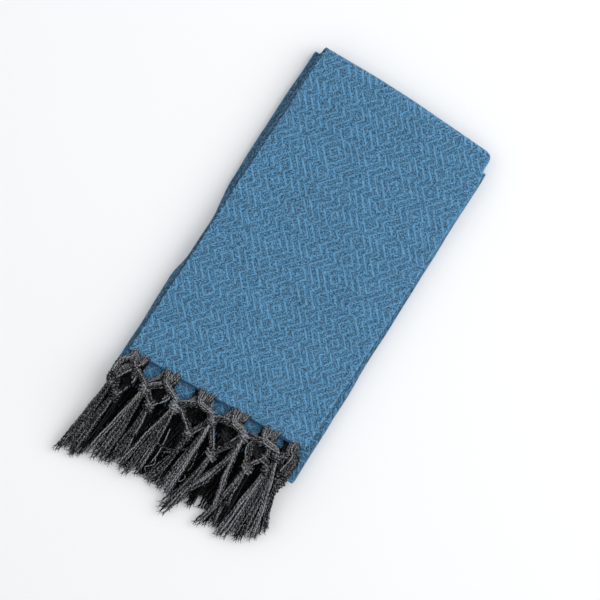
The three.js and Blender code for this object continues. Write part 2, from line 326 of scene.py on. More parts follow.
@dataclass
class Skin:
    """Vertices, faces and per-vertex facts of a mesh in the making, in millimetres."""

    points: list = field(default_factory=list)
    faces: list = field(default_factory=list)
    coords: list = field(default_factory=list)
    facts: dict = field(default_factory=dict)
    sharp_angle: float = 50.0  # edges sharper than this are shaded as edges, in degrees

    def add_rings(
        self,
        rings: np.ndarray,
        coords: np.ndarray,
        facts: dict[str, np.ndarray],
        closed: bool,
    ) -> None:
        """Joins rings of points into a tube.

        Args:
            rings: Points, by ring, place in the ring and axis.
            coords: Surface coordinates, by ring, place in the ring and axis.
            facts: Named numbers for each point.
            closed: Whether a face closes each end.
        """
        base = len(self.points)
        count, size = rings.shape[:2]
        self.points.extend(rings.reshape(-1, 3).tolist())
        self.coords.extend(coords.reshape(-1, 2).tolist())
        for name, values in facts.items():
            self.facts.setdefault(name, []).extend(values.reshape(-1).tolist())
        for ring in range(count - 1):
            first = base + ring * size
            for place in range(size):
                here = first + place
                beside = first + (place + 1) % size
                self.faces.append((here, here + size, beside + size, beside))
        if closed:
            last = base + (count - 1) * size
            self.faces.append(tuple(base + place for place in range(size)))
            self.faces.append(tuple(last + place for place in reversed(range(size))))

    def join(self, other: Skin) -> None:
        """Takes in the points, faces and facts of another one.

        Args:
            other: The mesh in the making that is added to this one.
        """
        base = len(self.points)
        self.points.extend(other.points)
        self.coords.extend(other.coords)
        self.faces.extend(tuple(corner + base for corner in face) for face in other.faces)
        for name, values in other.facts.items():
            self.facts.setdefault(name, []).extend(values)

    def to_object(self, name: str, material: bpy.types.Material) -> bpy.types.Object:
        """Makes the Blender object, in metres, with its coordinates and facts.

        Args:
            name: Its name.
            material: Its finish.

        Returns:
            The object, linked to the scene.
        """
        mesh = bpy.data.meshes.new(name)
        mesh.from_pydata((np.array(self.points) * MM).tolist(), [], self.faces)
        layer = mesh.uv_layers.new(name=UV_MAP)
        owners = np.zeros(len(mesh.loops), dtype=np.int32)
        mesh.loops.foreach_get("vertex_index", owners)
        layer.data.foreach_set("uv", np.array(self.coords, dtype=np.float32)[owners].ravel())
        for fact_name, values in self.facts.items():
            fact = mesh.attributes.new(fact_name, "FLOAT", "POINT")
            fact.data.foreach_set("value", np.array(values, dtype=np.float32))
        mesh.polygons.foreach_set("use_smooth", [True] * len(mesh.polygons))
        mesh.set_sharp_from_angle(angle=math.radians(self.sharp_angle))
        mesh.materials.append(material)
        mesh.validate()
        thing = bpy.data.objects.new(name, mesh)
        bpy.context.scene.collection.objects.link(thing)
        return thing


class Section(NamedTuple):
    """Points of the pleated package's section, in step along all arrays."""

    x: np.ndarray
    off: np.ndarray
    layer: np.ndarray
    across: np.ndarray
    reverse: np.ndarray


@dataclass
class Station:
    """A place on the package's way, with its turn, slant, slips and path coordinates."""

    y: float
    height: float
    face: float
    slant: float
    left: float
    right: float
    head: float
    pass_number: int
    path: float = 0.0
    lean: float = 0.0
    sway: float = 0.0


@dataclass(frozen=True)
class FoldedCloth:
    """The woven sheet, laid along the folds of its solid. Lengths are in millimetres."""

    fine_places: int = 60  # across the top layer
    plain_places: int = 16  # across each other layer
    pleat_steps: int = 8
    fold_steps: int = 14
    wobble: float = 0.45  # of the folded and free edges
    wobble_length: float = 31.0
    shadow_line_from: float = 121.6  # where the painted shadow line at the top layer's left edge begins
    # Strength of that painted shadow line.
    shadow_line_dark: float = 2.4
    rim_highlight_from: float = 120.5  # where the painted highlight on the top layer's right fold begins
    # Turns the layers under the top one toward the charcoal warp: their charcoal edges, with painted shade
    # under the top layer.
    inner_dark: float = 0.9
    strip_from: float = 100.0  # where the lower passes begin to turn toward the charcoal warp: their charcoal edges, with painted shade under the top pass
    strip_fade: float = 8.0
    strip_left: float = 0.6
    strip_right: float = 0.45

    def _places(self, layer: int) -> np.ndarray:
        """Places across one layer, closer together near its ends.

        Args:
            layer: Its number, from the top down.

        Returns:
            The places, from the left to the right.
        """
        count = self.fine_places if layer == 0 else self.plain_places
        share = np.linspace(-1.0, 1.0, count + 1)
        return PLEAT_CENTRE * np.sin(share * math.pi / 2) * (0.55 + 0.45 * np.abs(share))

    def _line(self) -> list[tuple[float, float, float, float, int]]:
        """The pleated middle line.

        Returns:
            For each point its place, its height off the middle, both parts of the direction of the
            cloth's face, and its layer.
        """
        line = []
        for layer in range(PLEATS):
            height = ((PLEATS - 1) / 2 - layer) * LAYER_STEP
            side = 1 if layer % 2 == 0 else -1
            line += [(side * x, height, 0.0, side, layer) for x in self._places(layer)]
            if layer == PLEATS - 1:
                break
            for step in range(1, self.pleat_steps):
                angle = step / self.pleat_steps * math.pi
                x = side * (PLEAT_CENTRE + math.sin(angle) * LAYER_STEP / 2)
                off = height - (1 - math.cos(angle)) * LAYER_STEP / 2
                line.append((x, off, math.sin(angle), side * math.cos(angle), layer))
        return line

    def _section(self) -> Section:
        """The package's section.

        Returns:
            One face of the cloth along the middle line, and the other face back.
        """
        line = np.array(self._line())
        steps = np.hypot(np.diff(line[:, 0]), np.diff(line[:, 1]))
        across = np.concatenate(([0.0], np.cumsum(steps)))
        faces = []
        for side in (-1, 1):
            x = line[:, 0] + side * line[:, 2] * CLOTH / 2
            off = line[:, 1] + side * line[:, 3] * CLOTH / 2
            reverse = np.full(len(line), 1.0 if side < 0 else 0.0)
            face = np.column_stack((x, off, line[:, 4], across, reverse))
            faces.append(face if side < 0 else face[::-1])
        return Section(*np.vstack(faces).T)

    @staticmethod
    def _station(number: int, y: float, height: float, face: float) -> Station:
        """A station on one pass, with the slant and slips of its place.

        Args:
            number: The pass, from the top down.
            y: Place along the block.
            height: Height of the package's middle.
            face: Direction of the package's upper side, as an angle.

        Returns:
            The station, without its path coordinates.
        """
        run = PASSES[number]
        share = min(max((y - run.start) / (run.end - run.start), 0.0), 1.0)
        slant = run.slants[0] + share * (run.slants[1] - run.slants[0])
        slip = run.slips[0] + share * (run.slips[1] - run.slips[0])
        head = min(max(1 - (HEAD_TURN - y) / HEAD_FADE, 0.0), 1.0)
        left = slip * between(SLIPS, "left", y)
        right = slip * between(SLIPS, "right", y)
        if number < HEAD_PASSES:
            right -= HEAD_TUCK * min(max((y - HEAD_TUCK_FROM) / HEAD_TUCK_FADE, 0.0), 1.0)
        return Station(y, height, face, slant, left, right, head if number < HEAD_PASSES else 0.0, number)

    def _stations(self) -> list[Station]:
        """All stations, with their path coordinates.

        Returns:
            The stations from the top hem to the floor hem.
        """
        way: list[Station] = []
        for number, run in enumerate(PASSES):
            height = PACKAGE / 2 + (len(PASSES) - 1 - number) * PASS_STEP
            face = math.pi / 2 if number % 2 == 0 else -math.pi / 2
            outwards = 1 if run.end > run.start else -1
            for y in np.linspace(run.start, run.end, run.rows + 1):
                way.append(self._station(number, float(y), height, face))
            for step in range(1, self.fold_steps if number < len(PASSES) - 1 else 0):
                turn = step / self.fold_steps * math.pi
                low = height - (1 - math.cos(turn)) * FOLD_RADIUS
                bend = self._station(number, run.end, low, face - outwards * turn)
                bend.y = run.end + outwards * math.sin(turn) * FOLD_RADIUS
                way.append(bend)
        for before, here in zip(way, way[1:]):
            onwards = 1 if math.sin(before.face) > 0 else -1
            here.path = before.path + math.hypot(here.y - before.y, here.height - before.height)
            here.lean = before.lean + onwards * (here.slant - before.slant)
            here.sway = before.sway + onwards * (before.head - here.head)
        return way

    @staticmethod
    def _lift(x: np.ndarray, y: np.ndarray) -> np.ndarray:
        """Height of the soft ridges in the top layer.

        Args:
            x: Places across.
            y: Places along.

        Returns:
            The height at each place.
        """
        lift = np.zeros_like(x)
        for ridge in RIPPLES:
            turn = math.radians(ridge.turn)
            along = (x - ridge.x) * math.cos(turn) + (y - ridge.y) * math.sin(turn)
            aside = (y - ridge.y) * math.cos(turn) - (x - ridge.x) * math.sin(turn)
            lift += ridge.height * np.exp(-((2 * along / ridge.length) ** 2) - (2 * aside / ridge.width) ** 2)
        return lift

    def _ring(self, section: Section, at: Station) -> tuple[np.ndarray, np.ndarray]:
        """The section laid at a station.

        Args:
            section: The package's section.
            at: The station.

        Returns:
            Its points, and their coordinates on the flat cloth in metres.
        """
        x, off, layer, across, _ = section
        back = np.interp(x, [row.x for row in HEAD], [row.back for row in HEAD])
        outer = (layer == 0) | (layer == PLEATS - 1)
        left = at.left * np.where(outer, SELVEDGE_SHARE, 1.0) * np.maximum(0.0, -x) / (PANEL / 2)
        right = at.right * np.maximum(0.0, x) / (PANEL / 2)
        edge = np.abs(x / (PANEL / 2)) ** 10 * np.sign(x)
        wobble = np.sin(at.path / self.wobble_length + 2.1 * np.round(across / PANEL))
        wobble += 0.5 * np.sin(at.path / self.wobble_length * 2.7 + 4 * np.round(across / PANEL))
        side = x - left + right + self.wobble * edge * wobble
        along = at.y + off * math.cos(at.face) + at.slant * x - at.head * back
        height = at.height + off * math.sin(at.face)
        if at.pass_number == 0 and at.y < HEAD_TURN - 1:
            rim = 1 - np.clip(np.abs(x) / (PANEL / 2), 0, 1) ** 6
            height = height + np.where(layer == 0, self._lift(x, along) * rim, 0.0)
        if at.pass_number == 0:
            along = along - sag(x, at.y - TOP_HEM_Y)
        v = at.path + at.lean * x + at.sway * back
        u = across + WARP_LEAN * (v - WARP_MIDDLE)
        return np.column_stack((side, along, height)), np.column_stack((u * MM, v * MM))

    def _edge(self, section: Section, at: Station) -> np.ndarray:
        """How the folds and edges depart from the colour of the open cloth.

        Args:
            section: The package's section.
            at: The station.

        Returns:
            Below 0 where a highlight is painted on the top layer's right fold, and above 0 where the cloth
            turns toward its charcoal warp: a painted shadow line at the top layer's left edge, and charcoal
            edges with painted shade on the layers and passes under the top one.
        """
        x = section.x
        if at.pass_number == 0:
            # Painted shadow: a dark line along the top layer's left edge, where it stands over the layers
            # beneath.
            line = self.shadow_line_dark * np.clip((-x - self.shadow_line_from) * 2, 0, 1)
            # Painted highlight along the top layer's rounded right fold.
            rim = line - np.clip((x - self.rim_highlight_from) / 2, 0, 1)
            # The layers under the top one turn toward the charcoal warp, with painted shade under the top
            # layer.
            return np.where(section.layer == 0, rim, self.inner_dark)
        # The edges of the lower passes turn toward the charcoal warp: their charcoal edges, with painted
        # shade under the top pass.
        left = np.clip((-x - self.strip_from) / self.strip_fade, 0, 1) * self.strip_left
        right = np.clip((x - self.strip_from) / self.strip_fade, 0, 1) * self.strip_right
        return left + right

    @staticmethod
    def _close(skin: Skin, rings: int, size: int) -> None:
        """Fills both hems with a strip between the two faces of the cloth.

        Args:
            skin: The cloth's mesh in the making.
            rings: Number of its rings.
            size: Number of points in each.
        """
        last = (rings - 1) * size
        for place in range(size // 2 - 1):
            facing = size - 1 - place
            skin.faces.append((place, place + 1, facing - 1, facing))
            skin.faces.append((last + facing, last + facing - 1, last + place + 1, last + place))

    def build(self, material: bpy.types.Material) -> bpy.types.Object:
        """Makes the cloth.

        Args:
            material: Its finish.

        Returns:
            The object.
        """
        section = self._section()
        stations = self._stations()
        made = [self._ring(section, at) for at in stations]
        rings = np.array([points for points, _ in made])
        coords = np.array([where for _, where in made])
        reverse = np.tile(section.reverse, (len(made), 1))
        edge = np.array([self._edge(section, at) for at in stations])
        skin = Skin()
        skin.add_rings(rings, coords, {"reverse": reverse, "edge": edge}, closed=False)
        self._close(skin, len(made), rings.shape[1])
        return skin.to_object("folded_cloth", material)


@dataclass(frozen=True)
class Hem:
    """One hem and the bed its fringe lies on."""

    y: float
    bed: tuple[Bed, ...]

    def place(self, x: float, drop: float, level: float, height: float) -> Point:
        """A point of a fringe.

        Args:
            x: Place across.
            drop: Distance past the hem.
            level: Its row, counted up from the lowest.
            height: Height over the row's bed.

        Returns:
            The point.
        """
        under = between(self.bed, "under", drop) + level * between(self.bed, "step", drop)
        hang = sag(x, abs(drop)) if self.y == TOP_HEM_Y else 0.0
        return x, self.y + SLANT_LOW * x - drop - hang, under + height


@dataclass(frozen=True)
class Row:
    """How one row of a fringe is tied. Lengths are in millimetres."""

    level: float  # counted up from the lowest row
    cross_drop: float = 0.0  # where bundles cross, past the hem
    root_offset: float = 0.0  # from the crossing to the root, across
    root_spread: float = 0.0
    way_share: float = 0.5  # of the root offset that is left at the way point
    way_drop: float = 7.7
    on_top: bool = False
    raised: float = 0.0  # how far its locks start over their bed
    radius: float = 1.2  # of a yarn
    step: float = 2.6  # between the rings of a yarn
    sides: int = 6


def within(x: float) -> float:
    """Keeps a place inside the fringe's two sides."""
    return min(max(x, FRINGE_LEFT), FRINGE_RIGHT)


def packed(count: int) -> list[tuple[float, float]]:
    """Places of round strands in a bunch.

    Args:
        count: Number of strands.

    Returns:
        Their places from -1 to 1 both ways, from left to right.
    """
    spots = []
    for number in range(count):
        reach = math.sqrt((number + 0.5) / count)
        spots.append((reach * math.cos(2.4 * number), reach * math.sin(2.4 * number)))
    return sorted(spots)


@dataclass
class YarnWork:
    """Yarns laid one by one: bundles, knots, tassels and loose ends. Lengths are in millimetres."""

    hem: Hem
    row: Row
    skin: Skin = field(default_factory=Skin)  # yarns of bundles and tassels
    ties: Skin = field(default_factory=Skin)  # knots, frayed ends and loose threads
    lay: float = 11.0  # length of one turn of the two plies
    lobe: float = 0.19  # swell of the plies, over the yarn's radius
    crimp_rate: float = 0.72
    drift_rate: float = 0.16
    bob_rate: float = 0.61
    bundle_width: float = 4.4
    bundle_rise: float = 1.9
    bundle_over: float = 2.6  # height of the bundle from the left over the other one
    neck_width: float = 3.6
    neck_aside: float = 4.2
    neck_before: float = 8.5  # from where a bundle turns in to its knot
    neck_after: float = 3.0  # at least this far past the crossing
    tuft_limit: float = 121.0
    tuft_length: float = 3.0
    tuft_vary: float = 2.6
    knot_width: float = 3.4
    knot_rise: float = 2.6
    knot_turns: int = 5
    knot_pitch: float = 2.2
    knot_reach: float = 7.0
    knot_steps: int = 10
    knot_yarn: float = 1.5  # thickness of the knot's turns over a yarn's
    lock_shares: tuple[float, ...] = (0.1, 0.3, 0.55, 0.8, 1.0)
    lock_wave: float = 0.25
    fray_plies: int = 4
    fray_radius: float = 0.42
    fray_length: float = 5.5
    pick_steps: int = 40

    def yarn(
        self,
        skin: Skin,
        stops: list[Point],
        radius: float,
        seed: float,
        ends: tuple[float, float] = (1.0, 0.5),
        wave: float = 0.0,
    ) -> None:
        """Lays one two-ply yarn along a smooth curve through its stops.

        Args:
            skin: The mesh in the making that takes it.
            stops: Points that it runs through.
            radius: Half its thickness.
            seed: Number its tone, twist and waves come from.
            ends: Thickness of its two ends over its usual one.
            wave: Height of its crimp towards the far end.
        """
        line = self._curve(np.array(stops, dtype=float))
        length = self._lengths(line)
        across, up = self._frames(line)
        ramp = np.clip(length / length[-1] * 1.6 - 0.3, 0, 1)
        crimp = wave * ramp * np.sin(length * self.crimp_rate + 9 * vary(seed + 3))
        drift = 2.2 * wave * ramp * np.sin(length * self.drift_rate + 9 * vary(seed + 5))
        line = line + across * (crimp + drift)[:, None]
        line = line + up * (0.6 * wave * ramp * np.sin(length * self.bob_rate + 9 * vary(seed + 7)))[:, None]
        from_start = np.clip(length / 14, 0, 1)
        from_end = np.clip((length[-1] - length) / 5, 0, 1)
        thick = radius * (ends[0] + (1 - ends[0]) * from_start) * (ends[1] + (1 - ends[1]) * from_end)
        turns = np.arange(self.row.sides) / self.row.sides * 2 * math.pi
        twist = length / self.lay * 2 * math.pi + 5 * seed
        ply = np.cos(2 * (turns[None, :] - twist[:, None]))
        reach = thick[:, None] * (1 + self.lobe * ply)
        ring = np.cos(turns)[None, :, None] * across[:, None, :]
        ring = ring + np.sin(turns)[None, :, None] * up[:, None, :]
        rings = line[:, None, :] + ring * reach[:, :, None]
        around = np.broadcast_to(turns / (2 * math.pi), ply.shape)
        coords = np.stack((around, np.broadcast_to(length[:, None] * MM, ply.shape)), axis=-1)
        tone = np.full(ply.shape, vary(seed + 11))
        # Painted light: this fact is 1 on the yarn's upper side and 0 under it, and the material paints the
        # upper side lit and the underside shaded.
        painted_top_light = np.broadcast_to(np.sin(turns) * 0.5 + 0.5, ply.shape)
        facts = {"ply": ply * 0.5 + 0.5, "tone": tone, "painted_top_light": painted_top_light}
        skin.add_rings(rings, coords, facts, closed=True)

    @staticmethod
    def _lengths(line: np.ndarray) -> np.ndarray:
        """Distance along a line at each of its points."""
        return np.concatenate(([0.0], np.cumsum(np.linalg.norm(np.diff(line, axis=0), axis=1))))

    @staticmethod
    def _frames(line: np.ndarray) -> tuple[np.ndarray, np.ndarray]:
        """Directions square to a line.

        Args:
            line: Its points.

        Returns:
            The direction across it and the one upwards from it at each point.
        """
        along = np.gradient(line, axis=0)
        across = np.cross(along, (0.0, 0.0, 1.0))
        across /= np.maximum(np.linalg.norm(across, axis=1, keepdims=True), 1e-6)
        up = np.cross(across, along)
        up /= np.maximum(np.linalg.norm(up, axis=1, keepdims=True), 1e-6)
        return across, up

    def _curve(self, stops: np.ndarray) -> np.ndarray:
        """Samples a Catmull-Rom curve through the stops at about the row's step.

        Args:
            stops: Points that it runs through.

        Returns:
            Its points.
        """
        before = 2 * stops[0] - stops[1]
        after = 2 * stops[-1] - stops[-2]
        knots = np.vstack((before, stops, after))
        parts = []
        for first, start, end, last in zip(knots, knots[1:], knots[2:], knots[3:]):
            count = max(2, round(float(np.linalg.norm(end - start)) / self.row.step))
            share = np.linspace(0, 1, count, endpoint=False)[:, None]
            bend = 2 * first - 5 * start + 4 * end - last
            turn = 3 * start - first - 3 * end + last
            parts.append(start + 0.5 * ((end - first) * share + bend * share**2 + turn * share**3))
        return np.vstack(parts + [stops[-1:]])

    def place(self, x: float, drop: float, height: float) -> Point:
        """A point of this row."""
        return self.hem.place(x, drop, self.row.level, height)

    def tassel(self, tassel: Tassel) -> None:
        """Lays two bundles from the hem, their knot, and the locks under it.

        Args:
            tassel: The tassel's places.
        """
        members = [(lock, spot) for lock in tassel.locks for spot in packed(lock.yarns)]
        for side, cross in ((-1, tassel.left), (1, tassel.right)):
            mine = members[0::2] if side < 0 else members[1::2]
            for number, (lock, spot) in enumerate(mine):
                seed = tassel.knot * 0.37 + self.row.level * 7.1 + side * 1.3 + number * 2.7
                stops = self._bundle(tassel, side, cross, packed(len(mine))[number], seed)
                self._run(tassel, lock, spot, stops, seed)
        self._knot(tassel)

    def _bundle(
        self, tassel: Tassel, side: int, cross: float, spot: tuple[float, float], seed: float
    ) -> list[Point]:
        """Leads one yarn from the weave to its knot.

        Args:
            tassel: The tassel that it belongs to.
            side: -1 for the bundle from the left, and 1 for the one from the right.
            cross: Place across where the bundle crosses its neighbour.
            spot: The yarn's place in the bundle.
            seed: Number its small differences come from.

        Returns:
            Its points.
        """
        row = self.row
        radius = row.radius
        root = min(max(cross + side * row.root_offset, -ROOT_LIMIT), ROOT_LIMIT)
        rise = self.bundle_rise * (1 + spot[1])
        over = self.bundle_over if side < 0 and row.on_top else 0.0
        stops = []
        if row.on_top:
            start = root + side * 2.6 + spot[0] * (row.root_spread + 0.6)
            start = min(max(start, -self.tuft_limit), self.tuft_limit)
            stops.append(self.place(start, -self.tuft_length - self.tuft_vary * vary(seed), 0.5))
            stops.append(self.place(root + side * 0.6 + spot[0] * row.root_spread, -0.6, 1.5))
        stops.append(self.place(root + spot[0] * (row.root_spread - 0.3), 2.2, radius * 0.6 + 0.5))
        half = cross + (root - cross) * row.way_share
        wide = (row.root_spread + self.bundle_width) / 2
        stops.append(self.place(half + spot[0] * wide, row.way_drop, radius + rise * 0.6 + over * 0.6))
        near = tassel.knot + side * self.neck_aside
        turn_drop = max(tassel.drop - self.neck_before, row.cross_drop + self.neck_after)
        run = math.hypot(near - cross, turn_drop - row.cross_drop)
        across = (turn_drop - row.cross_drop) / run
        down = (cross - near) / run
        reach = spot[0] * self.bundle_width
        stops.append(self.place(cross + reach * across, row.cross_drop + reach * down, radius + rise + over))
        reach = spot[0] * self.neck_width
        stops.append(self.place(near + reach * across, turn_drop + reach * down, radius + rise + over * 0.4))
        knot_height = radius + self.knot_rise * (1 + spot[1])
        stops.append(self.place(tassel.knot + spot[0] * self.knot_width, tassel.drop, knot_height))
        return stops

    def _run(
        self, tassel: Tassel, lock: Lock, spot: tuple[float, float], stops: list[Point], seed: float
    ) -> None:
        """Leads one yarn on from its knot to its tip, and frays its end.

        Args:
            tassel: The tassel that it belongs to.
            lock: The lock that it runs in.
            spot: Its place in the lock.
            stops: Its points up to the knot.
            seed: Number its small differences come from.
        """
        row = self.row
        radius = row.radius
        wide = radius * math.sqrt(lock.yarns / 0.95)
        reach = lock.reach + 5 * vary(seed + 1)
        for share in self.lock_shares:
            start = tassel.knot * (1 - share) * (1 - 2 * share)
            middle = start + lock.bend * 4 * share * (1 - share) + lock.tip * share * (2 * share - 1)
            flare = 0.85 + 0.45 * share**2
            x = middle + spot[0] * wide * flare + 0.7 * share * vary(seed + 9 * share)
            height = radius + wide * 0.9 * (1 + spot[1]) * (1.1 - 0.4 * share)
            height = height + row.raised * (1 - 0.9 * share)
            stops.append(self.place(x, tassel.drop + (reach - tassel.drop) * share, height))
        starts = 0.3 if row.on_top else 0.8
        self.yarn(self.skin, stops, radius, seed, ends=(starts, 0.6), wave=self.lock_wave)
        self._fray(stops[-2], stops[-1], seed)

    def _fray(self, before: Point, end: Point, seed: float) -> None:
        """Adds loose plies at the end of a yarn.

        Args:
            before: The yarn's last point but one.
            end: Its last point.
            seed: Number their directions and lengths come from.
        """
        away = Vector(end) - Vector(before)
        away.normalize()
        side = away.cross(Vector((0, 0, 1)))
        for ply in range(self.fray_plies):
            turn = (ply - 1.5) * 0.3 + 0.25 * vary(seed + ply)
            reach = self.fray_length + 3 * vary(seed + 7 * ply)
            start = Vector(end) - away * 2.5
            middle = start + away * reach * 0.6 + side * turn * reach * 0.3
            tip = start + away * reach + side * turn * reach
            tip.z = max(tip.z - 1.2, 0.6)
            stops = [tuple(start), tuple(middle), tuple(tip)]
            self.yarn(self.ties, stops, self.fray_radius, seed + ply, ends=(1.0, 0.4))

    def _knot(self, tassel: Tassel) -> None:
        """Winds turns of yarn slanting round the bundle.

        Args:
            tassel: The tassel whose knot it is.
        """
        radius = self.row.radius
        middle_height = radius + self.knot_rise
        for turn in range(self.knot_turns):
            tilt = 0.5 if turn % 2 == 0 else 0.1
            middle = tassel.drop + (turn - 2) * self.knot_pitch
            wide = self.knot_reach + 0.6 * vary(turn + tassel.knot) - 0.7 * abs(turn - 2)
            tall = self.knot_rise + 2.6 - 0.5 * abs(turn - 2)
            stops = []
            for step in range(self.knot_steps + 1):
                angle = step / self.knot_steps * 2 * math.pi
                drop = middle + math.cos(angle) * wide * tilt + 0.5 * math.sin(angle)
                x = tassel.knot + math.cos(angle) * wide
                stops.append(self.place(x, drop, max(middle_height + math.sin(angle) * tall, radius * 1.8)))
            self.yarn(self.ties, stops, radius * self.knot_yarn, tassel.knot + turn, ends=(1.0, 1.0))

    def loose(self, cross: float, count: int, reach: float) -> None:
        """Lays unknotted yarns that leave the hem together and spread over a whole repeat.

        Args:
            cross: Place across where they gather.
            count: Number of yarns.
            reach: Distance of their tips from the hem.
        """
        radius = self.row.radius
        for number in range(count):
            part = (number + 0.5) / count * 2 - 1
            seed = cross * 0.31 + number * 1.7
            lift = radius + 1.2 * (1 + vary(seed + 3))
            tip = within(cross + part * 22 - 6 + 4 * vary(seed + 2))
            stops = [
                self.place(within(cross + part * 10), 2.2, radius * 0.8),
                self.place(within(cross + part * 5.5), 13, lift),
                self.place(within(cross + part * 22), 28, lift),
                self.place(within(cross + part * 23 + 2 * vary(seed)), 62, lift),
                self.place(within(cross + part * 23 - 4 + 3 * vary(seed + 1)), reach * 0.8, lift),
                self.place(tip, reach + 9 * vary(seed + 5), radius),
            ]
            self.yarn(self.skin, stops, radius, seed, ends=(0.8, 0.6), wave=0.42)
            self._fray(stops[-2], stops[-1], seed)

    def stray(self, stray: Stray, number: int) -> None:
        """Lays a loose end over the tassels.

        Args:
            stray: Its places.
            number: Its number among the strays.
        """
        lift = stray.rise + self.row.raised + self.row.radius * 5
        stops = []
        for step, (x, drop) in enumerate(zip(stray.across, stray.drops)):
            stops.append(self.place(x, drop, lift + 0.8 * math.sin(step)))
        self.yarn(self.ties, stops, stray.radius, number * 1.9, ends=(0.9, 0.5))

    def pick(self, drop: float) -> None:
        """Lays a weft thread that has slipped out past the hem.

        Args:
            drop: Its distance from the hem.
        """
        stops = []
        for step in range(self.pick_steps + 1):
            x = -PANEL / 2 + 2 + step / self.pick_steps * (PANEL - 4)
            stops.append(self.place(x, drop + 0.5 * vary(step + drop), 0.8 + 0.25 * vary(step * 3)))
        self.yarn(self.ties, stops, 0.5, drop, ends=(1.0, 1.0))


class Maths(str, Enum):
    """Operations of the shader's Math node that the materials use."""

    ADD = "ADD"
    SUBTRACT = "SUBTRACT"
    MULTIPLY = "MULTIPLY"
    FLOOR = "FLOOR"
    FRACTION = "FRACT"
    PINGPONG = "PINGPONG"
    LESS = "LESS_THAN"
    GREATER = "GREATER_THAN"
    COSINE = "COSINE"
    ABSOLUTE = "ABSOLUTE"
    MINIMUM = "MINIMUM"
    MAXIMUM = "MAXIMUM"


class Value:
    """A number that varies over a surface. Arithmetic on it adds Math nodes."""

    def __init__(self, shader: Shader, socket: bpy.types.NodeSocket) -> None:
        """Wraps a socket of one of a shader's nodes."""
        self.shader = shader
        self.socket = socket

    def __add__(self, other: Value | float) -> Value:
        """This number plus another."""
        return self.shader.maths(Maths.ADD, self, other)

    def __radd__(self, other: float) -> Value:
        """A plain number plus this one."""
        return self.shader.maths(Maths.ADD, other, self)

    def __sub__(self, other: Value | float) -> Value:
        """This number less another."""
        return self.shader.maths(Maths.SUBTRACT, self, other)

    def __rsub__(self, other: float) -> Value:
        """A plain number less this one."""
        return self.shader.maths(Maths.SUBTRACT, other, self)

    def __mul__(self, other: Value | float) -> Value:
        """This number times another."""
        return self.shader.maths(Maths.MULTIPLY, self, other)

    def __rmul__(self, other: float) -> Value:
        """A plain number times this one."""
        return self.shader.maths(Maths.MULTIPLY, other, self)

    def floor(self) -> Value:
        """The whole number at or below this one."""
        return self.shader.maths(Maths.FLOOR, self)

    def fraction(self) -> Value:
        """What is left over the whole number."""
        return self.shader.maths(Maths.FRACTION, self)

    def absolute(self) -> Value:
        """This number without its sign."""
        return self.shader.maths(Maths.ABSOLUTE, self)

    def cosine(self) -> Value:
        """The cosine of this number."""
        return self.shader.maths(Maths.COSINE, self)

    def there_and_back(self, length: float) -> Value:
        """Runs up to a length and back to 0, over and over."""
        return self.shader.maths(Maths.PINGPONG, self, length)

    def below(self, limit: Value | float) -> Value:
        """1 where this number is below a limit, otherwise 0."""
        return self.shader.maths(Maths.LESS, self, limit)

    def above(self, limit: Value | float) -> Value:
        """1 where this number is above a limit, otherwise 0."""
        return self.shader.maths(Maths.GREATER, self, limit)

    def least(self, other: Value | float) -> Value:
        """The smaller of two numbers."""
        return self.shader.maths(Maths.MINIMUM, self, other)

    def most(self, other: Value | float) -> Value:
        """The larger of two numbers."""
        return self.shader.maths(Maths.MAXIMUM, self, other)


Source = Value | bpy.types.NodeSocket | float | tuple[float, ...]


